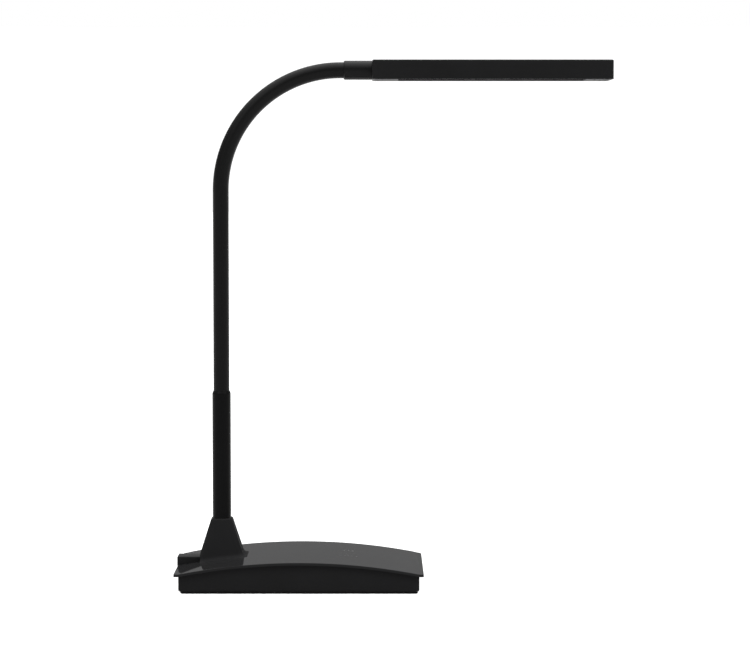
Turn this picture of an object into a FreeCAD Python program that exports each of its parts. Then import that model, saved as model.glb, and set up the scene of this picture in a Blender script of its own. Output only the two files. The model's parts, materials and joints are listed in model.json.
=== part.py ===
"""Desk lamp with a gooseneck: weighted base, straight post, flexible neck and a flat bar head.

Millimetres. X runs from the post towards the head, Y across the base, Z up.
The origin is the centre of the base's underside.
"""
import FreeCAD
import Part
import math
import os

from FreeCAD import Vector

# Base
cover_length = 185.0
cover_depth = 108.0
cover_thickness = 2.0
cover_rim_z = 15.2
cover_corner = 1.0
arch_radius = 465.0
arch_flat = 3.5
overhang = 3.25
tray_wall = 2.2
tray_floor = 2.0
tray_corner = 1.6
tray_bottom_round = 1.4
mat_thickness = 1.8
mat_inset = 1.05
lip_wall = 1.4
lip_drop = 2.4
lip_corner = 0.6
cover_boss_height = 5.0
cover_boss_gap = 2.0
cover_screw_seat = 2.2

# Ballast and its screws
ballast_thickness = 6.0
ballast_rear_gap = 5.0
ballast_side_gap = 13.3
ballast_board_gap = 9.8
ballast_corner = 4.0
ballast_screw_inset = 7.0

# Electronics under the touch area, placed from the cover's front end
touch_inset = 56.5
touch_y = 14.0
electrode_radius = 9.0
electrode_thickness = 0.5
electrode_film = 0.15
board_shift = 6.0
board_length = 52.0
board_width = 40.0
board_thickness = 1.6
board_height = 4.5
board_corner = 1.5
board_screw_inset = 4.0
chip_size = 7.0
chip_height = 1.2
chip_shift = 2.0
chip_chamfer = 0.2
capacitor_radius = 3.1
capacitor_height = 6.5
capacitor_inset = 6.5
capacitor_chamfer = 0.4
coil_radius = 4.0
coil_height = 4.0
coil_bore = 1.6
coil_inset = 9.0
coil_y = -9.0
coil_chamfer = 0.6

# Inlet housing and socket
inlet_width = 16.0
inlet_top_z = 21.4
inlet_round = 0.6
inlet_overrun = 0.7
socket_width = 9.0
socket_height = 3.3
socket_wall = 0.35
socket_length = 10.0
socket_back = 1.2
socket_setback = 0.4
tongue_width = 6.7
tongue_thickness = 0.7
tongue_setback = 0.8

# Post and its bracket, placed from the cover's rear end
post_inset = 32.9
post_radius = 7.0
post_wall = 0.8
post_top_z = 146.5
post_round = 0.75
flange_length = 30.0
flange_width = 26.0
flange_thickness = 2.0
flange_corner = 3.0
flange_screw_inset = 4.0
bracket_top_z = 50.0
bracket_top = 15.7
bracket_slope_x = 0.315
bracket_slope_y = 0.19
bracket_rear = 16.0
bracket_corner = 2.5
bracket_plate = 0.5
bracket_flare = 3.0
bracket_border = 3.0
bracket_wall = 2.2
bracket_roof = 12.0
bracket_sleeve_drop = 10.0
bracket_boss_drop = 14.0
bracket_screw_y = 10.0
bracket_screw_bite = 7.0

# Gooseneck
neck_radius = 6.0
core_radius = 3.7
bend_radius = 90.0
bend_start_z = 297.5
neck_level_run = 2.6
joint_dome = 7.0
joint_slit = 0.3
core_past_joint = 5.8
core_after_joint = 7.2
lower_bends = 5
upper_bends = 6
ferrule_length = 22.0
ferrule_chamfer = 0.8
root_sleeve_depth = 8.0

# Head
collar_length = 21.3
collar_radius = 7.15
collar_chamfer = 0.6
collar_sleeve_depth = 9.0
head_length = 178.9
head_width = 50.0
head_height = 14.4
head_drop = 7.3
head_wall = 1.8
head_corner = 2.4
head_edge_round = 0.9
head_boss_gap = 0.6
head_screw_bite = 7.0
bezel_thickness = 2.0
window_start = 19.4
window_end = 19.6
window_side = 6.0
window_corner = 1.5
diffuser_flange = 2.5
diffuser_plate = 1.2
diffuser_recess = 1.2
spreader_thickness = 2.0
spreader_side = 5.0
spreader_over = 4.5
spreader_corner = 2.0
led_board_width = 26.0
led_board_thickness = 1.2
led_board_corner = 1.0
led_count = 16
led_length = 3.5
led_width = 2.8
led_height = 0.8
vent_count = 3
vent_start = 7.2
vent_pitch = 4.2
vent_width = 1.4
vent_length = 16.0
stub_block_length = 12.0
stub_block_width = 20.0
stub_bite = 2.0

# Fasteners and clearances
screw_radius = 1.45
screw_clearance = 0.15
screw_head_radius = 2.6
screw_head_height = 1.6
screw_head_chamfer = 0.4
screw_tip_gap = 0.5
sunk_head = 1.2
countersink = 1.1
countersink_wide = 2.2
boss_radius = 3.4
seat_gap = 0.3
slip_gap = 0.05
cut_over = 1.0

# Sizes worked out from the ones above
tray_length = cover_length - 2 * overhang
tray_depth = cover_depth - 2 * overhang
tray_z = mat_thickness
floor_z = tray_z + tray_floor
half_arch = cover_length / 2 - arch_flat
arch_centre_z = cover_rim_z - math.sqrt(arch_radius**2 - half_arch**2)
post_x = post_inset - cover_length / 2
touch_x = cover_length / 2 - touch_inset
board_x = touch_x + board_shift
ballast_start_x = ballast_rear_gap + tray_wall - tray_length / 2
ballast_end_x = board_x - board_length / 2 - ballast_board_gap
ballast_length = ballast_end_x - ballast_start_x
ballast_width = tray_depth - 2 * tray_wall - 2 * ballast_side_gap
neck_straight = bend_start_z - post_top_z
neck_arc = bend_radius * math.pi / 2
level_z = bend_start_z + bend_radius
bend_x = post_x + bend_radius
collar_start_x = bend_x + neck_level_run
head_start_x = collar_start_x + collar_length
head_bottom_z = level_z - head_drop
head_top_z = head_bottom_z + head_height
head_mid_x = head_start_x + head_length / 2
window_length = head_length - window_start - window_end
window_width = head_width - 2 * window_side
ballast_z = floor_z + ballast_thickness
flange_z = ballast_z + flange_thickness
board_z = floor_z + board_height
lower_pitch = neck_straight / lower_bends
upper_pitch = neck_arc / upper_bends


def box(x0, x1, y0, y1, z0, z1):
    """Plain block between two corners."""
    return Part.makeBox(x1 - x0, y1 - y0, z1 - z0, Vector(x0, y0, z0))


def rounded_block(length, width, x, y, z0, z1, corner):
    """Block with rounded upright corners, centred on x and y."""
    block = box(x - length / 2, x + length / 2, y - width / 2, y + width / 2, z0, z1)
    upright = [e for e in block.Edges if is_upright(e)]
    return block.makeFillet(corner, upright)


def is_upright(edge):
    """True for a straight edge along Z."""
    ends = [v.Point for v in edge.Vertexes]
    if len(ends) != 2:
        return False
    return abs(ends[0].x - ends[1].x) < 1e-6 and abs(ends[0].y - ends[1].y) < 1e-6


def edges_at(shape, z):
    """Edges that lie wholly at one height."""
    found = []
    for edge in shape.Edges:
        bounds = edge.BoundBox
        if abs(bounds.ZMin - z) < 1e-4 and abs(bounds.ZMax - z) < 1e-4:
            found.append(edge)
    return found


def upright_rod(radius, x, y, z0, z1):
    return Part.makeCylinder(radius, z1 - z0, Vector(x, y, z0))


def level_rod(radius, x0, x1, y, z):
    return Part.makeCylinder(radius, x1 - x0, Vector(x0, y, z), Vector(1, 0, 0))


def screw(x, y, head_z, tip_z, head=screw_head_height):
    """Screw along Z with a chamfered round head, which lies on the far side of head_z from the tip."""
    up = 1 if tip_z > head_z else -1
    shank = Part.makeCylinder(screw_radius, abs(tip_z - head_z), Vector(x, y, head_z), Vector(0, 0, up))
    cap = Part.makeCylinder(screw_head_radius, head, Vector(x, y, head_z), Vector(0, 0, -up))
    cap = cap.makeChamfer(screw_head_chamfer, edges_at(cap, head_z - up * head))
    return shank.fuse(cap).removeSplitter()


def four_corners(x, y, dx, dy):
    return [(x + sx * dx, y + sy * dy) for sx in (-1, 1) for sy in (-1, 1)]


def arch_z(x):
    """Height of the cover's top surface over a place along the base."""
    if abs(x) > half_arch:
        return cover_rim_z
    return arch_centre_z + math.sqrt(arch_radius**2 - x**2)


def arch_profile(drop, low_z, half_length):
    """Outline of the space below the cover's top surface, moved down by drop, at Y = 0."""
    flat_z = cover_rim_z - drop
    peak = Vector(0, 0, arch_z(0) - drop)
    left = Vector(-half_arch, 0, flat_z)
    right = Vector(half_arch, 0, flat_z)
    edges = [
        Part.makeLine(Vector(-half_length, 0, low_z), Vector(-half_length, 0, flat_z)),
        Part.makeLine(Vector(-half_length, 0, flat_z), left),
        Part.Arc(left, peak, right).toShape(),
        Part.makeLine(right, Vector(half_length, 0, flat_z)),
        Part.makeLine(Vector(half_length, 0, flat_z), Vector(half_length, 0, low_z)),
        Part.makeLine(Vector(half_length, 0, low_z), Vector(-half_length, 0, low_z)),
    ]
    return Part.Face(Part.Wire(edges))


def under_arch(drop):
    """Solid that fills everything below the arched surface moved down by drop."""
    face = arch_profile(drop, -cover_rim_z, cover_length)
    face.translate(Vector(0, -cover_depth, 0))
    return face.extrude(Vector(0, 2 * cover_depth, 0))


# Places where the base's screws go

def cover_screw_places():
    inset = overhang + tray_wall + boss_radius + cover_boss_gap
    return four_corners(0, 0, cover_length / 2 - inset, cover_depth / 2 - inset)


def ballast_centre_x():
    return (ballast_start_x + ballast_end_x) / 2


def ballast_screw_places():
    dx = ballast_length / 2 - ballast_screw_inset
    dy = ballast_width / 2 - ballast_screw_inset
    return four_corners(ballast_centre_x(), 0, dx, dy)


def board_screw_places():
    return four_corners(board_x, 0, board_length / 2 - board_screw_inset, board_width / 2 - board_screw_inset)


def flange_screw_places():
    dx = flange_length / 2 - flange_screw_inset
    dy = flange_width / 2 - flange_screw_inset
    return four_corners(post_x, 0, dx, dy)


def bracket_screw_places():
    return [(post_x, -bracket_screw_y), (post_x, bracket_screw_y)]


# The base

def base_mat():
    length = tray_length - 2 * mat_inset
    depth = tray_depth - 2 * mat_inset
    return rounded_block(length, depth, 0, 0, 0, mat_thickness, tray_corner)


def base_tray():
    """Open tray whose walls rise to the arched cover, with bosses for every screw."""
    top = arch_z(0)
    outer = rounded_block(tray_length, tray_depth, 0, 0, tray_z, top, tray_corner)
    outer = outer.makeFillet(tray_bottom_round, edges_at(outer, tray_z))
    inner = rounded_block(tray_length - 2 * tray_wall, tray_depth - 2 * tray_wall, 0, 0, floor_z, top,
                          tray_corner - tray_wall / 2)
    tray = outer.cut(inner)
    for x, y in cover_screw_places():
        tray = tray.fuse(upright_rod(boss_radius, x, y, tray_z + tray_floor / 2, boss_top_z()))
    for x, y in board_screw_places():
        tray = tray.fuse(upright_rod(boss_radius, x, y, tray_z + tray_floor / 2, board_z))
    tray = tray.common(under_arch(cover_thickness))
    for x, y in cover_screw_places():
        tray = tray.cut(upright_rod(screw_radius + screw_clearance, x, y, tray_z, boss_top_z()))
        tray = tray.cut(upright_rod(screw_head_radius + screw_clearance, x, y, tray_z, cover_head_z()))
    for x, y in board_screw_places():
        tray = tray.cut(upright_rod(screw_radius + slip_gap, x, y, floor_z, board_z))
    for x, y in ballast_screw_places():
        tray = tray.cut(upright_rod(screw_radius + screw_clearance, x, y, tray_z, floor_z))
        tray = tray.cut(upright_rod(screw_head_radius + screw_clearance, x, y, tray_z, tray_z + sunk_head))
    return tray.removeSplitter()


def boss_top_z():
    """Top of the tray's corner bosses, where the cover's own bosses meet them."""
    return floor_z + cover_boss_height


def cover_head_z():
    """Bottom of the screw seats inside the corner bosses."""
    return boss_top_z() - cover_screw_seat


def cover_boss_x():
    return abs(cover_screw_places()[0][0])


def cover_lip():
    """Band inside the tray's wall that keeps the cover in place."""
    gap = tray_wall + seat_gap
    length = tray_length - 2 * gap
    depth = tray_depth - 2 * gap
    outer = rounded_block(length, depth, 0, 0, tray_z, arch_z(0), tray_corner - tray_wall / 2)
    inner = rounded_block(length - 2 * lip_wall, depth - 2 * lip_wall, 0, 0, tray_z, arch_z(0), lip_corner)
    return outer.cut(inner).cut(under_arch(cover_thickness + lip_drop))


def base_cover():
    """Arched plate with an overhang all round, a locating lip and four screw bosses inside."""
    plate = rounded_block(cover_length, cover_depth, 0, 0, tray_z, arch_z(0) + cut_over, cover_corner)
    plate = plate.common(under_arch(0)).cut(under_arch(cover_thickness))
    below = cover_lip()
    for x, y in cover_screw_places():
        below = below.fuse(upright_rod(boss_radius, x, y, boss_top_z(), arch_z(0)))
    cover = plate.fuse(below.common(under_arch(cover_thickness / 2)))
    for x, y in cover_screw_places():
        hole_end = cover_screw_tip_z() + screw_tip_gap
        cover = cover.cut(upright_rod(screw_radius + slip_gap, x, y, boss_top_z(), hole_end))
    cover = cover.cut(upright_rod(post_radius + slip_gap, post_x, 0, tray_z, arch_z(0) + cut_over))
    for x, y in bracket_screw_places():
        cover = cover.cut(upright_rod(screw_radius + screw_clearance, x, y, tray_z, arch_z(0) + cut_over))
    cover = cover.cut(socket_space(seat_gap))
    return cover.removeSplitter()


def cover_screw_tip_z():
    return arch_z(cover_boss_x()) - cover_thickness


def cover_screws():
    return [screw(x, y, cover_head_z(), cover_screw_tip_z()) for x, y in cover_screw_places()]


def ballast_plate():
    x = ballast_centre_x()
    plate = rounded_block(ballast_length, ballast_width, x, 0, floor_z, ballast_z, ballast_corner)
    for px, py in ballast_screw_places() + flange_screw_places():
        plate = plate.cut(upright_rod(screw_radius + slip_gap, px, py, floor_z, ballast_z))
    return plate


def ballast_screws():
    """They come up through the tray's floor, with their heads let in above the mat."""
    head_z = tray_z + sunk_head
    return [screw(x, y, head_z, ballast_z - screw_tip_gap, head=sunk_head) for x, y in ballast_screw_places()]


# Electronics

def touch_electrode():
    """Thin pad held against the underside of the cover by an adhesive film."""
    disc = upright_rod(electrode_radius, touch_x, touch_y, tray_z, arch_z(0))
    top = cover_thickness + electrode_film
    return disc.common(under_arch(top).cut(under_arch(top + electrode_thickness)))


def control_board():
    top = board_z + board_thickness
    board = rounded_block(board_length, board_width, board_x, 0, board_z, top, board_corner)
    for x, y in board_screw_places():
        board = board.cut(upright_rod(screw_radius + screw_clearance, x, y, board_z, top))
    return board


def board_screws():
    top = board_z + board_thickness
    return [screw(x, y, top, floor_z + screw_tip_gap, head=sunk_head) for x, y in board_screw_places()]


def on_board(height):
    """Bottom and top of a component on the board."""
    return board_z + board_thickness, board_z + board_thickness + height


def touch_chip():
    z0, z1 = on_board(chip_height)
    x = board_x + chip_shift
    body = box(x - chip_size / 2, x + chip_size / 2, -chip_size / 2, chip_size / 2, z0, z1)
    return body.makeChamfer(chip_chamfer, edges_at(body, z1))


def smoothing_capacitor():
    """Round can that lies on its side on the board."""
    z = board_z + board_thickness + capacitor_radius
    x = board_x - board_length / 2 + capacitor_inset
    end = Vector(x, -capacitor_height / 2, z)
    can = Part.makeCylinder(capacitor_radius, capacitor_height, end, Vector(0, 1, 0))
    return can.makeChamfer(capacitor_chamfer, [e for e in can.Edges if len(e.Vertexes) == 1])


def drive_coil():
    """Ring coil of the dimmer."""
    z0, z1 = on_board(coil_height)
    x = board_x + board_length / 2 - coil_inset
    ring = upright_rod(coil_radius, x, coil_y, z0, z1)
    ring = ring.cut(upright_rod(coil_bore, x, coil_y, z0, z1))
    return ring.makeChamfer(coil_chamfer, edges_at(ring, z1))


# Power inlet

def socket_mid_z():
    return (cover_rim_z + inlet_top_z) / 2


def slot_block(width, height, x0, x1, z):
    """Flat tube with round ends, along X."""
    block = box(x0, x1, -width / 2, width / 2, z - height / 2, z + height / 2)
    along = [e for e in block.Edges if abs(e.BoundBox.XLength - (x1 - x0)) < 1e-6]
    return block.makeFillet(0.49 * height, along)


def inlet_start_x():
    return -cover_length / 2 - inlet_overrun


def socket_start_x():
    return inlet_start_x() + socket_setback


def socket_space(gap):
    """Room that the socket takes in the cover and in the inlet housing."""
    x0 = inlet_start_x() - cut_over
    x1 = socket_start_x() + socket_length + gap
    return slot_block(socket_width + 2 * gap, socket_height + 2 * gap, x0, x1, socket_mid_z())


def inlet_housing():
    """Raised box from the bracket to just past the cover's rear edge, open at its end for the socket."""
    x0 = inlet_start_x()
    x1 = post_x - bracket_rear
    block = box(x0, x1, -inlet_width / 2, inlet_width / 2, cover_rim_z - cover_thickness, inlet_top_z)
    top_edges = [e for e in edges_at(block, inlet_top_z) if e.BoundBox.XMin < x1 - slip_gap]
    block = block.makeFillet(inlet_round, top_edges)
    above_base = box(-cover_length / 2, x1, -inlet_width, inlet_width, 0, inlet_top_z)
    block = block.cut(under_arch(0).common(above_base))
    return block.cut(socket_space(slip_gap))


def power_socket():
    """Steel shell of the socket, a flat tube closed at the back."""
    x0 = socket_start_x()
    x1 = x0 + socket_length
    z = socket_mid_z()
    shell = slot_block(socket_width, socket_height, x0, x1, z)
    width = socket_width - 2 * socket_wall
    height = socket_height - 2 * socket_wall
    return shell.cut(slot_block(width, height, x0 - cut_over, x1 - socket_back, z))


def socket_tongue():
    """Contact tongue in the middle of the socket."""
    x0 = socket_start_x() + tongue_setback
    x1 = socket_start_x() + socket_length - socket_back
    half_y = tongue_width / 2
    half_z = tongue_thickness / 2
    z = socket_mid_z()
    return box(x0, x1, -half_y, half_y, z - half_z, z + half_z)


# The post

def post_tube():
    """Steel tube with its top edge rolled in round the neck's sleeve."""
    tube = upright_rod(post_radius, post_x, 0, ballast_z, post_top_z)
    tube = tube.makeFillet(post_round, edges_at(tube, post_top_z))
    return tube.cut(upright_rod(post_radius - post_wall, post_x, 0, ballast_z, post_top_z))


def post_flange():
    """Flange that the tube is brazed into, screwed down on the ballast plate."""
    flange = rounded_block(flange_length, flange_width, post_x, 0, ballast_z, flange_z, flange_corner)
    flange = flange.cut(upright_rod(post_radius + slip_gap, post_x, 0, ballast_z, flange_z))
    for x, y in flange_screw_places():
        flange = flange.cut(upright_rod(screw_radius + screw_clearance, x, y, ballast_z, flange_z))
    return flange


def flange_screws():
    return [screw(x, y, flange_z, floor_z + screw_tip_gap) for x, y in flange_screw_places()]


def bracket_half(z, slope):
    """Half of the bracket's size at a height, in the direction with that slope."""
    return bracket_top / 2 + slope * (bracket_top_z - z)


def bracket_taper(shrink, top_z):
    """Four-sided taper from below the cover's edge up to top_z, with an upright rear face."""
    low_z = cover_rim_z - cover_thickness
    outlines = []
    for z in (low_z, top_z):
        half_x = bracket_half(z, bracket_slope_x) - shrink
        half_y = bracket_half(z, bracket_slope_y) - shrink
        turns = ((-1, -1), (1, -1), (1, 1), (-1, 1), (-1, -1))
        outlines.append(Part.makePolygon([Vector(post_x + sx * half_x, sy * half_y, z) for sx, sy in turns]))
    taper = Part.makeLoft(outlines, True, True)
    taper = taper.makeFillet(bracket_corner, [e for e in taper.Edges if e.BoundBox.ZLength > cut_over])
    behind = box(post_x - cover_length, post_x - bracket_rear + shrink, -cover_depth, cover_depth,
                 low_z - cut_over, top_z + cut_over)
    return taper.cut(behind)


def bracket_skirt():
    """Thin plate that follows the arch under the taper."""
    z = arch_z(post_x)
    half_x = bracket_half(z, bracket_slope_x) + bracket_border
    half_y = bracket_half(z, bracket_slope_y) + bracket_border
    x0 = post_x - bracket_rear
    x1 = post_x + half_x
    corner = bracket_corner + bracket_border
    pad = rounded_block(x1 - x0, 2 * half_y, (x0 + x1) / 2, 0, 0, bracket_top_z, corner)
    square = box(x0, post_x, -half_y, half_y, 0, bracket_top_z)
    return pad.fuse(square).removeSplitter().common(under_arch(-bracket_plate))


def is_bracket_root(edge):
    """True for an edge where the taper meets its skirt."""
    middle = edge.valueAt((edge.FirstParameter + edge.LastParameter) / 2)
    on_skirt = abs(middle.z - arch_z(middle.x) - bracket_plate) < slip_gap
    inside_x = middle.x < post_x + bracket_half(middle.z, bracket_slope_x) + slip_gap
    inside_y = abs(middle.y) < bracket_half(middle.z, bracket_slope_y) + slip_gap
    return on_skirt and inside_x and inside_y and middle.x > post_x - bracket_rear + slip_gap


def post_bracket():
    """Tapered shell that flares into its foot, with the tube's bore and two screw bosses inside."""
    shell = bracket_taper(0, bracket_top_z).fuse(bracket_skirt()).removeSplitter()
    shell = shell.makeFillet(bracket_flare, [e for e in shell.Edges if is_bracket_root(e)])
    shell = shell.cut(bracket_taper(bracket_wall, bracket_top_z - bracket_roof))
    sleeve_top = bracket_top_z - bracket_sleeve_drop
    shell = shell.fuse(upright_rod(post_radius + bracket_wall, post_x, 0, cover_rim_z, sleeve_top))
    for x, y in bracket_screw_places():
        boss = upright_rod(boss_radius, x, y, cover_rim_z, bracket_top_z - bracket_boss_drop)
        shell = shell.fuse(boss.common(bracket_taper(0, bracket_top_z)))
    shell = shell.cut(under_arch(0))
    shell = shell.cut(upright_rod(post_radius + slip_gap, post_x, 0, 0, bracket_top_z + cut_over))
    hole_end = bracket_screw_tip_z() + screw_tip_gap
    for x, y in bracket_screw_places():
        shell = shell.cut(upright_rod(screw_radius + slip_gap, x, y, 0, hole_end))
    return shell.removeSplitter()


def bracket_screw_tip_z():
    return arch_z(post_x) + bracket_screw_bite


def bracket_screws():
    """Screws from inside the cover up into the bracket. The arch is lowest at the rear of their heads."""
    z = arch_z(post_x - screw_head_radius) - cover_thickness
    return [screw(x, y, z, bracket_screw_tip_z(), head=sunk_head) for x, y in bracket_screw_places()]


# The gooseneck's centre line, measured by the distance s from the top of the tube

def centre(s):
    """Point of the centre line."""
    if s <= neck_straight:
        return Vector(post_x, 0, post_top_z + s)
    if s <= neck_straight + neck_arc:
        turn = (s - neck_straight) / bend_radius
        return Vector(bend_x - bend_radius * math.cos(turn), 0, bend_start_z + bend_radius * math.sin(turn))
    return Vector(bend_x + s - neck_straight - neck_arc, 0, level_z)


def neck_path(s0, s1):
    """Centre line from s0 to s1 as straight runs and one arc."""
    marks = [s0] + [m for m in (neck_straight, neck_straight + neck_arc) if s0 < m < s1] + [s1]
    edges = []
    for a, b in zip(marks, marks[1:]):
        if a >= neck_straight and b <= neck_straight + neck_arc:
            edges.append(Part.Arc(centre(a), centre((a + b) / 2), centre(b)).toShape())
        else:
            edges.append(Part.makeLine(centre(a), centre(b)))
    return Part.Wire(edges)


def direction(s):
    """Unit vector along the centre line."""
    turn = min(max(s - neck_straight, 0), neck_arc) / bend_radius
    return Vector(math.sin(turn), 0, math.cos(turn))


def rod_along(radius, s0, s1):
    """Round bar that follows the centre line."""
    profile = Part.Face(Part.Wire(Part.makeCircle(radius, centre(s0), direction(s0))))
    return neck_path(s0, s1).makePipe(profile)


def joint_places():
    """Joints from the tube up, as (distance, kind). A bend turns about Y, a sway about the other axis."""
    places = [(lower_pitch * (k + 0.5), "bend") for k in range(lower_bends)]
    places += [(lower_pitch * k, "sway") for k in (1, lower_bends - 1)]
    places += [(neck_straight + upper_pitch * (k + 0.5), "bend") for k in range(upper_bends)]
    places += [(neck_straight + upper_pitch * k, "sway") for k in (1, upper_bends - 1)]
    return sorted(places)


def joint_cone(s, ball):
    """Cone past the joint at s. Its circles at the sleeve's skin and bore lie on a ball about the joint."""
    skin_at = math.sqrt(ball**2 - neck_radius**2)
    bore_at = math.sqrt(ball**2 - sleeve_bore()**2)
    steepness = (bore_at - skin_at) / (neck_radius - sleeve_bore())
    wide = neck_radius + cut_over
    narrow = sleeve_bore() - cut_over
    base = centre(s) + direction(s) * (skin_at - cut_over * steepness)
    return Part.makeCone(wide, narrow, (wide - narrow) * steepness, base, direction(s)), base


def sleeve_bore():
    return core_radius + slip_gap


def coned_end(sleeve, s):
    """Taper the end of a sleeve that runs past the joint at s, to turn inside the next sleeve's mouth."""
    cone, base = joint_cone(s, joint_dome)
    beyond = Part.makeCylinder(2 * neck_radius, 2 * joint_dome, base, direction(s)).cut(cone)
    return sleeve.cut(beyond)


def coned_mouth(sleeve, s):
    """Open the start of a sleeve round the tapered end of the one before, a slit away from it."""
    cone, base = joint_cone(s, joint_dome + joint_slit)
    length = 2 * joint_dome
    before = Part.makeCylinder(2 * neck_radius, length, base - direction(s) * length, direction(s))
    return sleeve.cut(before).cut(cone)


def sleeve(s0, s1):
    """Length of the sleeve along the centre line."""
    return rod_along(neck_radius, s0, s1).cut(rod_along(sleeve_bore(), s0, s1))


def sleeve_link(s0, s1):
    return coned_mouth(coned_end(sleeve(s0, s1 + joint_dome), s1), s0)


def core_link(s0, s1):
    return rod_along(core_radius, s0 + core_after_joint, s1 + core_past_joint)


def root_sleeve():
    """Bottom of the sleeve, which sits in the tube's mouth and ends in the first cone."""
    s1 = joint_places()[0][0]
    return coned_end(sleeve(-root_sleeve_depth, s1 + joint_dome), s1)


def neck_ferrule():
    """Steel end of the core, pressed in the tube below the sleeve."""
    s1 = joint_places()[0][0]
    rod = rod_along(core_radius, -root_sleeve_depth - ferrule_length, s1 + core_past_joint)
    top = post_top_z - root_sleeve_depth
    plug = upright_rod(post_radius - post_wall - slip_gap, post_x, 0, top - ferrule_length, top)
    plug = plug.makeChamfer(ferrule_chamfer, edges_at(plug, top - ferrule_length))
    return plug.fuse(rod).removeSplitter()


def neck_end():
    """Distance along the centre line of the head's end wall."""
    return neck_straight + neck_arc + head_start_x - bend_x


def end_sleeve():
    """Top of the sleeve, from the last joint into the head's collar."""
    s0 = joint_places()[-1][0]
    return coned_mouth(sleeve(s0, neck_end() - collar_length + collar_sleeve_depth), s0)


def head_stub():
    """Steel end of the core: it runs through the collar into the block that holds the head."""
    rod = rod_along(core_radius, joint_places()[-1][0] + core_after_joint, neck_end() + head_wall + stub_bite)
    x0 = head_start_x + head_wall + seat_gap
    block = box(x0, x0 + stub_block_length, -stub_block_width / 2, stub_block_width / 2, level_z,
                head_top_z - head_wall)
    return rod.fuse(block).removeSplitter()


# The head

def head_collar():
    """Ring round the sleeve and the stub, between the neck and the head."""
    ring = level_rod(collar_radius, collar_start_x, head_start_x, 0, level_z)
    front = [e for e in ring.Edges if abs(e.BoundBox.XMax - collar_start_x) < 1e-6]
    ring = ring.makeChamfer(collar_chamfer, front)
    pocket_end = collar_start_x + collar_sleeve_depth + slip_gap
    ring = ring.cut(level_rod(neck_radius + slip_gap, collar_start_x, pocket_end, 0, level_z))
    return ring.cut(level_rod(sleeve_bore(), collar_start_x, head_start_x, 0, level_z))


def head_screw_places():
    inset = head_wall + boss_radius + head_boss_gap
    return four_corners(head_mid_x, 0, head_length / 2 - inset, head_width / 2 - inset)


def head_housing():
    """Upper shell of the bar: roof and four walls, with bosses for the bezel's screws."""
    outer = rounded_block(head_length, head_width, head_mid_x, 0, head_bottom_z, head_top_z, head_corner)
    outer = outer.makeFillet(head_edge_round, edges_at(outer, head_top_z))
    inner = rounded_block(head_length - 2 * head_wall, head_width - 2 * head_wall, head_mid_x, 0,
                          head_bottom_z, head_top_z - head_wall, head_corner - head_wall)
    shell = outer.cut(inner)
    hole_end = head_screw_tip_z() + screw_tip_gap
    for x, y in head_screw_places():
        shell = shell.fuse(upright_rod(boss_radius, x, y, bezel_top_z(), head_top_z - head_wall / 2))
        shell = shell.cut(upright_rod(screw_radius + slip_gap, x, y, bezel_top_z(), hole_end))
    wall_end = head_start_x + head_wall + cut_over
    shell = shell.cut(level_rod(sleeve_bore(), head_start_x - cut_over, wall_end, 0, level_z))
    return shell.removeSplitter()


def bezel_top_z():
    return head_bottom_z + bezel_thickness


def head_screw_tip_z():
    return bezel_top_z() + head_screw_bite


def head_screws():
    """Countersunk a little below the bezel's face."""
    seat = head_bottom_z + sunk_head
    screws = []
    for x, y in head_screw_places():
        shank = upright_rod(screw_radius, x, y, seat, head_screw_tip_z())
        cone = Part.makeCone(countersink_wide, screw_radius, countersink, Vector(x, y, seat - countersink))
        screws.append(cone.fuse(shank).removeSplitter())
    return screws


def window_mid_x():
    return head_start_x + window_start + window_length / 2


def vent_x(k):
    """Slots stand in the bezel's solid end, between the window and the free end."""
    return head_start_x + window_start + window_length + vent_start + k * vent_pitch


def screw_seat(x, y):
    """Hole and countersink in the bezel for one screw."""
    seat = head_bottom_z + sunk_head
    wide = countersink_wide + screw_clearance
    hole = upright_rod(screw_radius + screw_clearance, x, y, head_bottom_z, bezel_top_z())
    cone = Part.makeCone(wide, screw_radius + screw_clearance, countersink, Vector(x, y, seat - countersink))
    well = upright_rod(wide, x, y, head_bottom_z, seat - countersink)
    return hole.fuse(cone).fuse(well)


def head_bezel():
    """Underside frame: window for the diffuser, cooling slots near the free end."""
    gap = head_wall + slip_gap
    frame = rounded_block(head_length - 2 * gap, head_width - 2 * gap, head_mid_x, 0, head_bottom_z,
                          bezel_top_z(), head_corner - head_wall)
    frame = frame.cut(rounded_block(window_length, window_width, window_mid_x(), 0, head_bottom_z,
                                    bezel_top_z(), window_corner))
    for k in range(vent_count):
        frame = frame.cut(rounded_block(vent_width, vent_length, vent_x(k), 0, head_bottom_z, bezel_top_z(),
                                        0.49 * vent_width))
    for x, y in head_screw_places():
        frame = frame.cut(screw_seat(x, y))
    return frame


def diffuser():
    """Translucent strip: a face that fills the window and a flange that lies on the bezel inside."""
    top = bezel_top_z()
    flange = rounded_block(window_length + 2 * diffuser_flange, window_width + 2 * diffuser_flange,
                           window_mid_x(), 0, top, top + diffuser_plate, window_corner)
    face = rounded_block(window_length - 2 * slip_gap, window_width - 2 * slip_gap, window_mid_x(), 0,
                         head_bottom_z + diffuser_recess, top, window_corner - slip_gap)
    return flange.fuse(face).removeSplitter()


def spreader_z():
    return head_top_z - head_wall - spreader_thickness


def heat_spreader():
    return rounded_block(window_length + 2 * spreader_over, head_width - 2 * spreader_side, window_mid_x(), 0,
                         spreader_z(), spreader_z() + spreader_thickness, spreader_corner)


def led_board():
    return rounded_block(window_length, led_board_width, window_mid_x(), 0,
                         spreader_z() - led_board_thickness, spreader_z(), led_board_corner)


def led_chips():
    """Two rows of light sources under the board."""
    z1 = spreader_z() - led_board_thickness
    pitch = window_length / led_count
    chips = []
    for row in (-1, 1):
        for k in range(led_count):
            x = window_mid_x() + (k - (led_count - 1) / 2) * pitch
            y = row * led_board_width / 4
            chips.append(box(x - led_length / 2, x + led_length / 2, y - led_width / 2, y + led_width / 2,
                             z1 - led_height, z1))
    return chips


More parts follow.
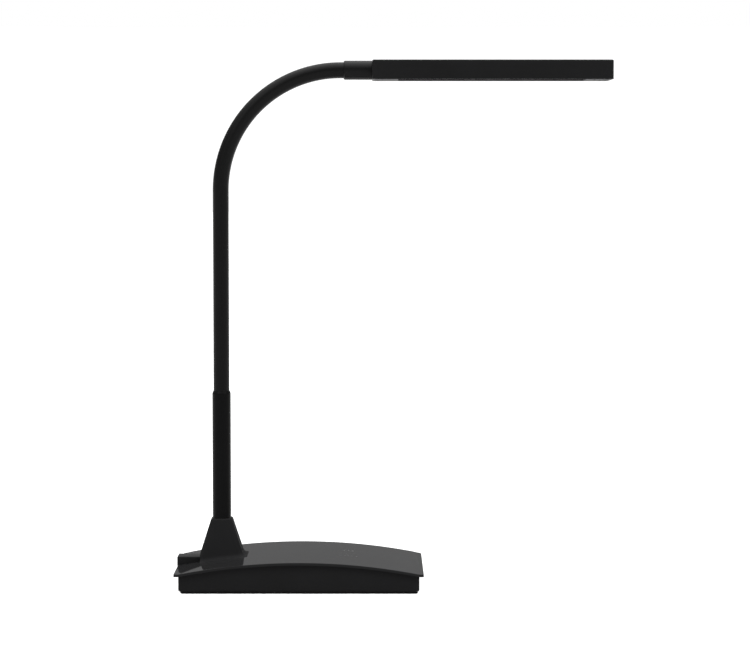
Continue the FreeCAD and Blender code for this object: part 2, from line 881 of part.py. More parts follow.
# Writing the pieces

def write(name, shape):
    """One STEP file for each piece. A list becomes a group of separate solids."""
    solid = Part.makeCompound(shape) if isinstance(shape, list) else shape
    if not solid.isValid():
        raise ValueError(name + " is not a valid solid")
    solid.exportStep(os.path.join("parts", name + ".step"))
    print(name, len(solid.Solids), round(solid.Volume, 1))


def write_neck():
    write("neck_sleeve_root", root_sleeve())
    write("neck_sleeve_end", end_sleeve())
    places = [s for s, kind in joint_places()]
    for k, (s0, s1) in enumerate(zip(places, places[1:]), 1):
        write("neck_core_%02d" % k, core_link(s0, s1))
        write("neck_sleeve_%02d" % k, sleeve_link(s0, s1))


def main():
    os.makedirs("parts", exist_ok=True)
    pieces = (base_mat, base_tray, base_cover, cover_screws, ballast_plate, ballast_screws,
              touch_electrode, control_board, board_screws, touch_chip, smoothing_capacitor, drive_coil,
              inlet_housing, power_socket, socket_tongue, post_tube, post_flange, flange_screws,
              post_bracket, bracket_screws, neck_ferrule, head_stub, head_collar, head_housing,
              head_screws, head_bezel, diffuser, heat_spreader, led_board, led_chips)
    for piece in pieces:
        write(piece.__name__, piece())
    write_neck()


main()
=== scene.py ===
import json
import math
import bmesh
import bpy
import numpy as np
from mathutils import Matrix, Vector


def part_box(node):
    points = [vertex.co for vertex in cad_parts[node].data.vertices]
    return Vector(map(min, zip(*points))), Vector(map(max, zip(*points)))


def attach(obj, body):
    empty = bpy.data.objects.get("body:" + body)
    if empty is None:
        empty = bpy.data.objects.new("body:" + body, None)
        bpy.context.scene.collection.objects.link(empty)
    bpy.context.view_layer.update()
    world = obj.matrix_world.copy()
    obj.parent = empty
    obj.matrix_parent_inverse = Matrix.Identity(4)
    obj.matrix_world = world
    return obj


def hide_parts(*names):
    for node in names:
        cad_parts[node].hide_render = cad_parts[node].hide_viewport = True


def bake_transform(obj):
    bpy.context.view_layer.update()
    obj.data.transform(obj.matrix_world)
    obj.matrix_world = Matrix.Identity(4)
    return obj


# Gooseneck desk lamp: weighted base, straight post, flexible neck and a flat bar head.
# Metres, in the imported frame: x runs from the post to the head, z is up.

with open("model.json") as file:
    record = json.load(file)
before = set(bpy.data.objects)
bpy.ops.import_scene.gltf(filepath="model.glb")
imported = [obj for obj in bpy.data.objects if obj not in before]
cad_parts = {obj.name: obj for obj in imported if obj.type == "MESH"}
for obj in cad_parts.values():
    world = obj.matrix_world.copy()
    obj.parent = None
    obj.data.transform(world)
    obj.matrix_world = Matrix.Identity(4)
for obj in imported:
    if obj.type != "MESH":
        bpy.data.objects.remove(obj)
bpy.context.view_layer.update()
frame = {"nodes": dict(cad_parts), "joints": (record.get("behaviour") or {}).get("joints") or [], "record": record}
nodes = frame["nodes"]
joints = frame["joints"]
print("frame loaded,", len(nodes), "nodes")

# The view that the lamp is seen from

camera = {"place": (0.0564, -1.89063, 0.31917), "tiltDown": 3.8009, "lens": 120.555, "clipEnd": 60}


def makeCamera(s):
    data = bpy.data.cameras.new("front_camera")
    data.lens = s["lens"]
    data.clip_end = s["clipEnd"]
    item = bpy.data.objects.new("front_camera", data)
    item.location = s["place"]
    item.rotation_euler = (math.radians(90 - s["tiltDown"]), 0, 0)
    bpy.context.scene.collection.objects.link(item)
    bpy.context.scene.camera = item


makeCamera(camera)
bpy.context.scene.view_settings.view_transform = "Standard"
print("camera ready")

# Materials


def addNode(tree, kind, settings=None, links=None):
    # One node, with values for its inputs or its own settings, and links into its inputs.
    node = tree.nodes.new(kind)
    for key, value in (settings or {}).items():
        if isinstance(key, int) or key in node.inputs:
            node.inputs[key].default_value = value
        else:
            setattr(node, key, value)
    for key, source in (links or {}).items():
        tree.links.new(source, node.inputs[key])
    return node


def addRamp(tree, source, stops):
    # Colour ramp through (position, colour) stops.
    node = addNode(tree, "ShaderNodeValToRGB", links={"Fac": source})
    elements = node.color_ramp.elements
    while len(elements) < len(stops):
        elements.new(0.5)
    for element, (position, colour) in zip(elements, stops):
        element.position = position
        element.color = (*colour, 1)
    return node.outputs["Color"]


def grainMaterial(s):
    # Slow colour drift, fine grain in the roughness, and a bump of the same grain. Stretch draws it out along x.
    material = bpy.data.materials.new(s["name"])
    material.use_nodes = True
    tree = material.node_tree
    shader = tree.nodes["Principled BSDF"]
    place = addNode(tree, "ShaderNodeTexCoord").outputs["Object"]
    place = addNode(tree, "ShaderNodeMapping", {"Scale": s.get("stretch", (1, 1, 1))}, {"Vector": place}).outputs[0]
    drift = addNode(tree, "ShaderNodeTexNoise", {"Scale": s["driftScale"], "Detail": 4.0}, {"Vector": place})
    grain = addNode(tree, "ShaderNodeTexNoise", {"Scale": s["grainScale"], "Detail": 3.0}, {"Vector": place})
    colour = addRamp(tree, drift.outputs["Fac"], ((0.3, s["colourLow"]), (0.7, s["colourHigh"])))
    rough = addNode(tree, "ShaderNodeMapRange", {"To Min": s["roughLow"], "To Max": s["roughHigh"]},
                    {"Value": grain.outputs["Fac"]})
    bump = addNode(tree, "ShaderNodeBump", {"Strength": s["bump"], "Distance": s["bumpDepth"]},
                   {"Height": grain.outputs["Fac"]})
    tree.links.new(colour, shader.inputs["Base Color"])
    tree.links.new(rough.outputs["Result"], shader.inputs["Roughness"])
    tree.links.new(bump.outputs["Normal"], shader.inputs["Normal"])
    shader.inputs["Specular IOR Level"].default_value = s["specular"]
    shader.inputs["Metallic"].default_value = s.get("metal", 0)
    return material


def grey(low, high):
    # Neutral colour pair for the drift, the lighter one a touch cooler.
    return {"colourLow": (low, low, low * 1.02), "colourHigh": (high, high, high * 1.04)}


finishes = [
    {"name": "gloss_black", **grey(0.0105, 0.0115), "driftScale": 40, "grainScale": 700,
     "roughLow": 0.04, "roughHigh": 0.07, "bump": 0.01, "bumpDepth": 0.00005, "specular": 0.05},
    {"name": "satin_black", **grey(0.0078, 0.0095), "driftScale": 30, "grainScale": 2500,
     "roughLow": 0.35, "roughHigh": 0.5, "bump": 0.1, "bumpDepth": 0.0001, "specular": 0.05},
    # Lighter copy of satin_black with painted light in its colour, so that the bracket reads brighter than the other
    # satin parts.
    {"name": "bracket_painted_light_black", **grey(0.0108, 0.0124), "driftScale": 30, "grainScale": 2500,
     "roughLow": 0.6, "roughHigh": 0.7, "bump": 0.06, "bumpDepth": 0.0001, "specular": 0.015},
    {"name": "collar_black", **grey(0.002, 0.0025), "driftScale": 30, "grainScale": 2500,
     "roughLow": 0.35, "roughHigh": 0.45, "bump": 0.06, "bumpDepth": 0.0001, "specular": 0.1},
    {"name": "bezel_black", **grey(0.005, 0.007), "driftScale": 30, "grainScale": 2500,
     "roughLow": 0.45, "roughHigh": 0.6, "bump": 0.06, "bumpDepth": 0.0001, "specular": 0.05},
    {"name": "mat_foam", **grey(0.006, 0.014), "driftScale": 300, "grainScale": 1400,
     "roughLow": 0.85, "roughHigh": 1.0, "bump": 0.6, "bumpDepth": 0.0004, "specular": 0.05},
    {"name": "post_paint", **grey(0.002, 0.0025), "driftScale": 30, "grainScale": 3000,
     "roughLow": 0.3, "roughHigh": 0.4, "bump": 0.05, "bumpDepth": 0.0001, "specular": 0.05},
    {"name": "neck_skin", **grey(0.0015, 0.002), "driftScale": 40, "grainScale": 2600,
     "roughLow": 0.35, "roughHigh": 0.45, "bump": 0.06, "bumpDepth": 0.0001, "specular": 0.09},
    {"name": "milky_diffuser", "colourLow": (0.62, 0.62, 0.6), "colourHigh": (0.68, 0.68, 0.66),
     "driftScale": 25, "grainScale": 1500, "roughLow": 0.3, "roughHigh": 0.4, "bump": 0.03,
     "bumpDepth": 0.0001, "specular": 0.5},
    {"name": "key_print", **grey(0.035, 0.045), "driftScale": 200, "grainScale": 3000,
     "roughLow": 0.3, "roughHigh": 0.4, "bump": 0.05, "bumpDepth": 0.00005, "specular": 0.1},
    {"name": "neck_steel", **grey(0.5, 0.6), "driftScale": 80, "grainScale": 1800,
     "roughLow": 0.3, "roughHigh": 0.45, "bump": 0.05, "bumpDepth": 0.0001, "specular": 0.5, "metal": 1},
    {"name": "ballast_iron", **grey(0.24, 0.32), "driftScale": 60, "grainScale": 900,
     "roughLow": 0.5, "roughHigh": 0.7, "bump": 0.15, "bumpDepth": 0.0002, "specular": 0.5, "metal": 1},
    {"name": "screw_steel", **grey(0.28, 0.36), "driftScale": 400, "grainScale": 3000,
     "roughLow": 0.35, "roughHigh": 0.5, "bump": 0.05, "bumpDepth": 0.0001, "specular": 0.5, "metal": 1},
    {"name": "copper_pad", "colourLow": (0.6, 0.3, 0.17), "colourHigh": (0.76, 0.44, 0.28),
     "driftScale": 150, "grainScale": 2000, "roughLow": 0.25, "roughHigh": 0.4, "bump": 0.04,
     "bumpDepth": 0.0001, "specular": 0.5, "metal": 1},
    {"name": "board_green", "colourLow": (0.02, 0.12, 0.05), "colourHigh": (0.035, 0.18, 0.08),
     "driftScale": 120, "grainScale": 2200, "roughLow": 0.3, "roughHigh": 0.45, "bump": 0.05,
     "bumpDepth": 0.0001, "specular": 0.5},
    {"name": "component_black", **grey(0.02, 0.035), "driftScale": 200, "grainScale": 3000,
     "roughLow": 0.5, "roughHigh": 0.65, "bump": 0.1, "bumpDepth": 0.0001, "specular": 0.4},
    {"name": "can_metal", **grey(0.62, 0.72), "driftScale": 200, "grainScale": 2500,
     "roughLow": 0.25, "roughHigh": 0.35, "bump": 0.03, "bumpDepth": 0.0001, "specular": 0.5, "metal": 1},
    {"name": "socket_metal", **grey(0.45, 0.55), "driftScale": 200, "grainScale": 1200, "stretch": (0.1, 1, 1),
     "roughLow": 0.25, "roughHigh": 0.4, "bump": 0.04, "bumpDepth": 0.0001, "specular": 0.5, "metal": 1},
    {"name": "spreader_metal", **grey(0.66, 0.76), "driftScale": 80, "grainScale": 900, "stretch": (0.05, 1, 1),
     "roughLow": 0.3, "roughHigh": 0.45, "bump": 0.05, "bumpDepth": 0.0001, "specular": 0.5, "metal": 1},
    {"name": "led_yellow", "colourLow": (0.8, 0.68, 0.2), "colourHigh": (0.88, 0.78, 0.3),
     "driftScale": 500, "grainScale": 3000, "roughLow": 0.25, "roughHigh": 0.35, "bump": 0.02,
     "bumpDepth": 0.00005, "specular": 0.5},
]
materials = {s["name"]: grainMaterial(s) for s in finishes}
for subpart in frame["record"]["subparts"]:
    mesh = nodes[subpart["node"]].data
    mesh.materials.clear()
    mesh.materials.append(materials[subpart["material_slot"]])
print("materials ready,", len(materials))

# Ways to make a piece's surface

edges = {"mergeDistance": 1e-6, "sharpAngle": 35, "flatAngle": 0.5, "bevelAngle": 40, "bevelSegments": 2}


def halfRing(halfX, halfY, corner, cornerSteps, sideSteps):
    # The +y half of a rounded rectangle, from the +x end to the -x end.
    angle = np.linspace(0, np.pi / 2, cornerSteps + 1)
    arc = corner * np.stack([np.cos(angle), np.sin(angle)], 1) + [halfX - corner, halfY - corner]
    run = np.linspace(1, -1, sideSteps + 1)[1:-1, None]
    side = np.concatenate([run * (halfX - corner), np.full_like(run, halfY)], 1)
    return np.concatenate([arc, side, arc[::-1] * [-1, 1]])


def roundedRing(halfX, halfY, corners, cornerSteps, sideSteps):
    # Rounded rectangle, the far half first. The near half may have its own corners.
    far, near = corners if isinstance(corners, tuple) else (corners, corners)
    upper = halfRing(halfX, halfY, far, cornerSteps, sideSteps)
    lower = halfRing(halfX, halfY, near, cornerSteps, sideSteps)
    return np.concatenate([upper, lower[::-1] * [1, -1]])


def wallProfile(height, lowRound, topRound, border=0.0004, steps=4):
    # Inset and height up a wall: a narrow border, a quarter round, the wall, a quarter round and a border again.
    angle = np.linspace(0, np.pi / 2, steps + 1)
    low = np.stack([lowRound * (1 - np.sin(angle)), lowRound * (1 - np.cos(angle))], 1)
    top = np.stack([topRound * (1 - np.cos(angle)), height - topRound * (1 - np.sin(angle))], 1)
    return np.concatenate([[[lowRound + border, 0]], low, top, [[topRound + border, height]]])


def blockGrid(profile, size, corners, centre, cornerSteps=8, sideSteps=2):
    # One rounded ring for each inset and height of the profile.
    corners = corners if isinstance(corners, tuple) else (corners, corners)
    rings = []
    for inset, height in profile:
        halfX, halfY = size[0] / 2 - inset, size[1] / 2 - inset
        inner = tuple(max(corner - inset, 0.00005) for corner in corners)
        ring = roundedRing(halfX, halfY, inner, cornerSteps, sideSteps) + centre[:2]
        rings.append(np.concatenate([ring, np.full((len(ring), 1), centre[2] + height)], 1))
    return np.array(rings)


def ringFaces(rows, columns, closeRows=False):
    # Quads between rings, each ring closed on itself. Where asked, the last ring closes on the first one too.
    index = np.arange(rows * columns).reshape(rows, columns)
    after = np.roll(index, -1, 0) if closeRows else index[1:]
    before = index if closeRows else index[:-1]
    faces = np.stack([before, np.roll(before, -1, 1), np.roll(after, -1, 1), after], -1)
    return faces.reshape(-1, 4).tolist()


def ladderFaces(start, columns):
    # Cap over a mirrored ring: quads between each point and the one that mirrors it.
    step = np.arange(columns // 2 - 1)
    faces = np.stack([step, step + 1, columns - 2 - step, columns - 1 - step], -1)
    return (faces + start).tolist()


def turnedGrid(profile, steps=48):
    # A (height, radius) profile turned round the z axis.
    turn = np.linspace(0, 2 * np.pi, steps, endpoint=False)
    along, radius = np.array(profile).T
    x = radius[:, None] * np.cos(turn)
    y = radius[:, None] * np.sin(turn)
    return np.stack([x, y, np.broadcast_to(along[:, None], x.shape)], -1)


def finishPiece(s, mesh, work):
    # Doubles merged, faces outwards, smooth up to the given angle, with its finish, nodes and body.
    bmesh.ops.remove_doubles(work, verts=work.verts, dist=edges["mergeDistance"])
    bmesh.ops.recalc_face_normals(work, faces=work.faces)
    work.to_mesh(mesh)
    work.free()
    mesh.polygons.foreach_set("use_smooth", np.ones(len(mesh.polygons), bool))
    mesh.set_sharp_from_angle(angle=math.radians(s.get("sharp", edges["sharpAngle"])))
    mesh.materials.clear()
    mesh.materials.append(materials[s["finish"]])
    item = bpy.data.objects.new(s["name"], mesh)
    bpy.context.scene.collection.objects.link(item)
    if s.get("stands"):
        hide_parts(*s["stands"])
    if "body" in s:
        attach(item, s["body"])
    return item


def makePiece(s, points, faces):
    # Mesh from points and faces.
    mesh = bpy.data.meshes.new(s["name"])
    mesh.from_pydata(points.reshape(-1, 3).tolist(), [], faces)
    work = bmesh.new()
    work.from_mesh(mesh)
    return finishPiece(s, mesh, work)


def blockPiece(s, grid):
    # Rings from one end of a block to the other, with a cap over the first and the last.
    rows, columns = grid.shape[:2]
    caps = ladderFaces(0, columns) + ladderFaces((rows - 1) * columns, columns)
    return makePiece(s, grid, ringFaces(rows, columns) + caps)


def hoopPiece(s, grid):
    # Rings closed on each other, as round a tube's wall.
    return makePiece(s, grid, ringFaces(len(grid), grid.shape[1], closeRows=True))


def bevelledCopy(s):
    # Copy of a node with its flat faces joined and its edges rounded off a little.
    mesh = nodes[s["stands"][0]].data.copy()
    mesh.name = s["name"]
    work = bmesh.new()
    work.from_mesh(mesh)
    bmesh.ops.remove_doubles(work, verts=work.verts, dist=edges["mergeDistance"])
    bmesh.ops.dissolve_limit(work, angle_limit=math.radians(edges["flatAngle"]), verts=work.verts, edges=work.edges)
    item = finishPiece(s, mesh, work)
    bevel = item.modifiers.new("edge_round", "BEVEL")
    bevel.width = s["edgeRound"]
    bevel.segments = edges["bevelSegments"]
    bevel.limit_method = "ANGLE"
    bevel.angle_limit = math.radians(edges["bevelAngle"])
    bevel.use_clamp_overlap = True
    bevel.harden_normals = True
    return item


def joinedParts(parts):
    # Points and faces of several parts as one mesh's, each part's faces counted on from the points before it.
    points, faces = [], []
    start = 0
    for partPoints, partFaces in parts:
        points.append(partPoints.reshape(-1, 3))
        faces += [[start + k for k in face] for face in partFaces]
        start += len(points[-1])
    return np.concatenate(points), faces


def boxOf(node):
    low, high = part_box(node)
    return np.array(low), np.array(high)


def middleOf(node):
    low, high = boxOf(node)
    return (low + high) / 2


# The base

base = {"archRadius": 0.465, "archFlat": 0.0035, "thickness": 0.002, "rimHeight": 0.0152}
cover = {"name": "cover_shell", "stands": ["base_cover"], "body": "base", "finish": "gloss_black",
         "corners": (0.008, 0.001), "topRound": 0.00025, "lowRound": 0.0002, "cornerSteps": 12, "sideSteps": 90}
tray = {"name": "tray_shell", "stands": ["base_tray"], "body": "base", "finish": "satin_black",
        "corner": 0.0016, "lowRound": 0.0014, "sideSteps": 90, "intoCover": 0.0005}
mat = {"name": "foam_mat", "stands": ["base_mat"], "body": "base", "finish": "mat_foam",
       "corner": 0.0016, "sideSteps": 300, "lowRound": 0.0006, "ragged": 0.0004, "lift": 0.0007, "liftFrom": 0.45,
       "liftGain": 5, "seed": 4, "fill": 0.95}


def archHeight(x):
    # Height of the cover's top: an arc of a circle between two short flats.
    reach = boxOf("base_cover")[1][0] - base["archFlat"]
    centre = base["rimHeight"] - math.sqrt(base["archRadius"] ** 2 - reach ** 2)
    inside = np.clip(np.abs(x), 0, reach)
    return centre + np.sqrt(base["archRadius"] ** 2 - inside ** 2)


def makeCover(s):
    # A plate bent over the arch: each point's height is its height in the flat plate plus the arch's at its x.
    low, high = boxOf("base_cover")
    profile = wallProfile(base["thickness"], s["lowRound"], s["topRound"])
    grid = blockGrid(profile, (high - low)[:2], s["corners"], [0, 0, -base["thickness"]],
                     s["cornerSteps"], s["sideSteps"])
    grid[..., 2] += archHeight(grid[..., 0])
    blockPiece(s, grid)


def makeTray(s):
    # An upright wall over a rounded lower edge. The top ring follows the arch, a little way into the cover.
    low, high = boxOf("base_tray")
    profile = wallProfile(s["lowRound"], s["lowRound"], 0)[:-1]
    grid = blockGrid(profile, (high - low)[:2], s["corner"], [0, 0, low[2]], sideSteps=s["sideSteps"])
    grid[-1, :, 2] = archHeight(grid[-1, :, 0]) - base["thickness"] + s["intoCover"]
    blockPiece(s, grid)


def makeMat(s):
    # The cut edge is torn a little: each upright line of it is drawn in by a random share of ragged. Its lower rim
    # is lifted where the random share, smoothed over three lines, is more than liftFrom.
    low, high = boxOf("base_mat")
    profile = wallProfile(high[2], s["lowRound"], 0)[:-1]
    grid = blockGrid(profile, (high - low)[:2], s["corner"], [0, 0, 0], sideSteps=s["sideSteps"])
    random = np.random.default_rng(s["seed"])
    torn, lifted = random.random((2, grid.shape[1]))
    lifted = (lifted + np.roll(lifted, 1) + np.roll(lifted, 2)) / 3
    grid[..., :2] *= (1 - torn * s["ragged"] / high[1])[:, None]
    raised = np.clip((lifted - s["liftFrom"]) * s["liftGain"], 0, 1) * s["lift"]
    grid[1:-1, :, 2] += raised * (1 - grid[1:-1, :, 2] / high[2])
    blockPiece(s, grid)


makeCover(cover)
makeTray(tray)
makeMat(mat)
print("base ready")

# The bracket round the foot of the post

# The bracket's finish is the lighter copy of satin_black, with painted light in its colour.
bracket = {"name": "bracket_shell", "stands": ["post_bracket"], "body": "base",
           "finish": "bracket_painted_light_black", "slot": "satin_black", "topHalf": 0.00785, "slopeX": 0.315, "slopeY": 0.19,
           "rear": 0.016, "cornerShare": 0.22, "flare": 0.003, "topRound": 0.00095, "wallSteps": 14,
           "roundSteps": 8, "cornerSteps": 6, "tries": 4}


def makeBracket(s):
    # Rings that follow the arch at the foot and level out at the top. A ring's half widths are topHalf plus the
    # slopes times its depth below the top. The foot flares in a hollow quarter round, and the top edge is rounded.
    # Where a ring isn't level, its x and its height depend on each other, so they are worked out in a few tries.
    top = boxOf("post_bracket")[1][2]
    postX = middleOf("post_tube")[0]
    angle = np.linspace(0, np.pi / 2, s["roundSteps"] + 1)
    rows = [(0, s["flare"] * (1 - c), s["flare"] * (1 - v)) for c, v in zip(np.cos(angle), np.sin(angle))]
    rows += [(share, s["flare"], 0) for share in np.linspace(0, 1, s["wallSteps"] + 1)[1:-1]]
    rolled = s["topRound"] / (top - archHeight(postX))
    rows += [(1 - rolled * (1 - v), s["flare"], -s["topRound"] * (1 - c)) for c, v in zip(np.cos(angle), np.sin(angle))]
    unit = roundedRing(1, 1, s["cornerShare"], s["cornerSteps"], 2)
    rings = []
    for share, lift, reach in rows:
        x = np.full(len(unit), postX)
        for _ in range(s["tries"]):
            z = (1 - share) * (archHeight(x) + lift) + share * top
            x = postX + unit[:, 0] * (s["topHalf"] + s["slopeX"] * (top - z) + reach)
        y = unit[:, 1] * (s["topHalf"] + s["slopeY"] * (top - z) + reach)
        rings.append(np.stack([np.maximum(x, postX - s["rear"]), y, z], 1))
    blockPiece(s, np.array(rings))


makeBracket(bracket)
print("bracket ready")

# The touch area's printed marks: a ring with a gap and a bar, and a row of three dots between two end marks

marks = {"name": "touch_marks", "body": "base", "finish": "key_print", "slot": "gloss_black", "height": 0.00003,
         "depth": 0.0001, "line": 0.00035, "ringPlace": (0.0363, 0.014), "ringRadius": 0.0036, "ringSteps": 40,
         "gapTurn": 0.55, "barLift": 0.00198, "barReach": 0.0018, "rowPlace": (0.0363, -0.011), "rowReach": 0.0062,
         "markReach": 0.0011, "dotPitch": 0.00248, "dot": 0.00045}


def markBand(line, half, s):
    # A thin closed band along a line on the cover, half to each side of it, as points and faces.
    way = np.gradient(line, axis=0)
    way /= np.linalg.norm(way, axis=1, keepdims=True)
    side = np.stack([-way[:, 1], way[:, 0]], 1) * half
    rims = [line - side, line + side, line + side, line - side]
    lifts = [-s["depth"], -s["depth"], s["height"], s["height"]]
    points = [np.concatenate([rim, (archHeight(rim[:, 0]) + lift)[:, None]], 1) for rim, lift in zip(rims, lifts)]
    last = (len(line) - 1) * 4
    return np.stack(points, 1), ringFaces(len(line), 4) + [[0, 1, 2, 3], [last, last + 1, last + 2, last + 3]]


def stroke(middle, reach):
    # Five points along a straight line through its middle.
    return np.array(middle) + np.linspace(-1, 1, 5)[:, None] * reach


def makeMarks(s):
    # The ring is a circle without its gap, which is centred on +y.
    turn = np.linspace(s["gapTurn"], 2 * np.pi - s["gapTurn"], s["ringSteps"]) + np.pi / 2
    ringX, ringY = s["ringPlace"]
    rowX, rowY = s["rowPlace"]
    ring = np.stack([ringX + s["ringRadius"] * np.cos(turn), ringY + s["ringRadius"] * np.sin(turn)], 1)
    lines = [(ring, s["line"]), (stroke((ringX, ringY + s["barLift"]), (0, s["barReach"])), s["line"])]
    lines += [(stroke((rowX + k * s["rowReach"], rowY), (s["markReach"], 0)), s["line"]) for k in (-1, 1)]
    lines.append((stroke((rowX + s["rowReach"], rowY), (0, s["markReach"])), s["line"]))
    lines += [(stroke((rowX + k * s["dotPitch"], rowY), (s["dot"], 0)), s["dot"]) for k in (-1, 0, 1)]
    makePiece(s, *joinedParts([markBand(line, half, s) for line, half in lines]))


makeMarks(marks)
print("marks ready")

# The power inlet behind the bracket

inlet = {"name": "inlet_shell", "stands": ["inlet_housing"], "body": "base", "finish": "satin_black",
         "edgeRound": 0.0009, "corner": 0.0001, "intoCover": 0.0002, "mouthGap": 0.0001, "mouthRound": 0.0016,
         "mouthDeep": 0.009, "border": 0.0003, "endStrip": 0.001}
socket = {"name": "socket_shell", "stands": ["power_socket"], "body": "base", "finish": "socket_metal",
          "wall": 0.00035, "back": 0.0012, "round": 0.0016}
tongue = {"name": "contact_tongue", "stands": ["socket_tongue"], "body": "base", "finish": "component_black",
          "round": 0.0002, "corner": 0.0001}


def levelRings(rows, middle, cornerSteps=8):
    # Rounded rings in upright planes, each from its x, half width, half height and corner.
    rings = []
    for x, halfY, halfZ, corner in rows:
        ring = roundedRing(halfY, halfZ, corner, cornerSteps, 2)
        rings.append(np.stack([np.full(len(ring), x), ring[:, 0] + middle[1], ring[:, 1] + middle[2]], 1))
    return np.array(rings)


def makeInlet(s):
    # The box, rounded at its outer end, with a mouth for the socket in that end. Round that end, a ring is drawn in
    # by edgeRound times one less the cosine, where it stands back by edgeRound times one less the sine.
    low, high = boxOf("inlet_housing")
    low[2] += s["intoCover"]
    middle = (low + high) / 2
    halfY, halfZ = high[1], (high[2] - low[2]) / 2
    mouthLow, mouthHigh = boxOf("power_socket")
    mouthY, mouthZ = (mouthHigh - mouthLow)[1:] / 2 + s["mouthGap"]
    outer, edge, corner = s["edgeRound"], s["border"], s["corner"]
    rows = [(low[0] + s["mouthDeep"], mouthY, mouthZ, s["mouthRound"]), (low[0], mouthY, mouthZ, s["mouthRound"]),
            (low[0], mouthY + edge, mouthZ + edge, s["mouthRound"] + edge),
            (low[0], halfY - outer - edge, halfZ - outer - edge, corner)]
    for angle in np.linspace(np.pi / 2, 0, 6):
        drawn = outer * (1 - math.cos(angle))
        back = outer * (1 - math.sin(angle))
        rows.append((low[0] + back, halfY - drawn, halfZ - drawn, corner + (outer - corner) * math.cos(angle)))
    rows += [(high[0] - s["endStrip"], halfY, halfZ, outer), (high[0], halfY, halfZ, outer)]
    grid = levelRings(rows, middle)
    grid[:3, :, 2] += (mouthLow + mouthHigh)[2] / 2 - middle[2]
    blockPiece(s, grid)


def makeSocket(s):
    # A flat tube of sheet, closed at the back.
    low, high = boxOf("power_socket")
    half = (high - low) / 2
    inner = half - s["wall"]
    rows = [(high[0] - s["back"], inner[1], inner[2], s["round"] - s["wall"]),
            (low[0], inner[1], inner[2], s["round"] - s["wall"]), (low[0], half[1], half[2], s["round"]),
            (high[0], half[1], half[2], s["round"])]
    blockPiece(s, levelRings(rows, (low + high) / 2))


def makeTongue(s):
    # A thin bar with its free end drawn in a little.
    low, high = boxOf("socket_tongue")
    half = (high - low) / 2
    rows = [(low[0], half[1] - s["round"], half[2] - s["round"], s["corner"]),
            (low[0] + s["round"], half[1], half[2], s["round"]), (high[0], half[1], half[2], s["round"])]
    blockPiece(s, levelRings(rows, (low + high) / 2))


makeInlet(inlet)
makeSocket(socket)
makeTongue(tongue)
print("inlet ready")

# The post, a tube with its top edge rolled in

post = {"name": "post_shell", "stands": ["post_tube"], "body": "base", "finish": "post_paint",
        "bore": 0.00605, "shoulder": 0.0024, "turnIn": 0.0008, "roundShare": 0.4, "steps": 12, "deep": 0.03}


def makePost(s):
    # The top is drawn in to the neck over a short shoulder: with the square of the height over its first part, the
    # round share, and then straight on.
    low, high = boxOf("post_tube")
    radius = (high[1] - low[1]) / 2
    share = np.linspace(0, 1, s["steps"] + 1)
    early = s["roundShare"]
    bend = np.where(share < early, share ** 2 / (2 * early), share - early / 2) / (1 - early / 2)
    roll = np.stack([high[2] - s["shoulder"] * (1 - share), radius - s["turnIn"] * bend], 1)
    profile = np.concatenate([[[low[2], s["bore"]], [low[2], radius]], roll, [[high[2] - s["deep"], s["bore"]]]])
    hoopPiece(s, turnedGrid(profile) + [middleOf("post_tube")[0], 0, 0])


makePost(post)

# The neck's skin: one piece over each joint, from the middle of one link to the middle of the next

neck = {"radius": 0.006, "bore": 0.0042, "bendRadius": 0.09, "bendStart": 0.2975, "step": 0.001, "leastSteps": 8,
        "sides": 40, "finish": "neck_skin", "blendShare": 0.9}


def neckLine(distance):
    # Points and directions of the centre line by the distance from the tube's top: up, a quarter circle, level.
    tubeTop = boxOf("post_tube")[1][2]
    straight = neck["bendStart"] - tubeTop
    radius = neck["bendRadius"]
    turn = np.clip(distance - straight, 0, radius * np.pi / 2) / radius
    past = np.maximum(distance - straight - radius * np.pi / 2, 0)
    x = middleOf("post_tube")[0] + radius * (1 - np.cos(turn)) + past
    z = tubeTop + np.minimum(distance, straight) + radius * np.sin(turn)
    way = np.stack([np.sin(turn), np.zeros_like(turn), np.cos(turn)], -1)
    return np.stack([x, np.zeros_like(x), z], -1), way


def neckPlace(point):
    # Distance along the centre line of a joint's point.
    tubeTop = boxOf("post_tube")[1][2]
    if point[2] <= neck["bendStart"]:
        return point[2] - tubeTop
    rise = math.asin(min((point[2] - neck["bendStart"]) / neck["bendRadius"], 1))
    return neck["bendStart"] - tubeTop + neck["bendRadius"] * rise


def neckRings(distances, radii):
    # Circles across the centre line, one for each distance and radius.
    points, way = neckLine(distances)
    side = np.array([0.0, 1.0, 0.0])
    front = np.cross(side, way)
    turn = np.linspace(0, 2 * np.pi, neck["sides"], endpoint=False)[None, :, None]
    return points[:, None] + radii[:, None, None] * (np.cos(turn) * side + np.sin(turn) * front[:, None])


def makeNeck():
    # Each piece is a tube over its joint, standing in for that joint's sleeve node.
    places = [neckPlace(joint["pos_m"]) for joint in joints]
    first = boxOf("neck_sleeve_root")[0][2] - boxOf("post_tube")[1][2]
    last = places[-1] + boxOf("neck_sleeve_end")[1][0] - joints[-1]["pos_m"][0]
    middles = [first] + [(a + b) / 2 for a, b in zip(places, places[1:])] + [last]
    for k, (joint, place) in enumerate(zip(joints, places)):
        begin, end = middles[k], middles[k + 1]
        count = max(int((end - begin) / neck["step"]), neck["leastSteps"])
        along = np.linspace(begin, end, count + 1)
        distances = np.concatenate([along, along[::-1]])
        radii = np.concatenate([np.full(count + 1, neck["radius"]), np.full(count + 1, neck["bore"])])
        stands = [f"neck_sleeve_{k + 1:02d}"] if k < len(joints) - 1 else ["neck_sleeve_end"]
        stands += ["neck_sleeve_root"] if k == 0 else []
        piece = {"name": f"neck_skin_{k + 1:02d}", "stands": stands, "finish": neck["finish"]}
        item = hoopPiece(piece, neckRings(distances, radii))
        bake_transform(item)


makeNeck()
print("post and neck ready")

# The head: collar, housing, and the frame, window and screws under it

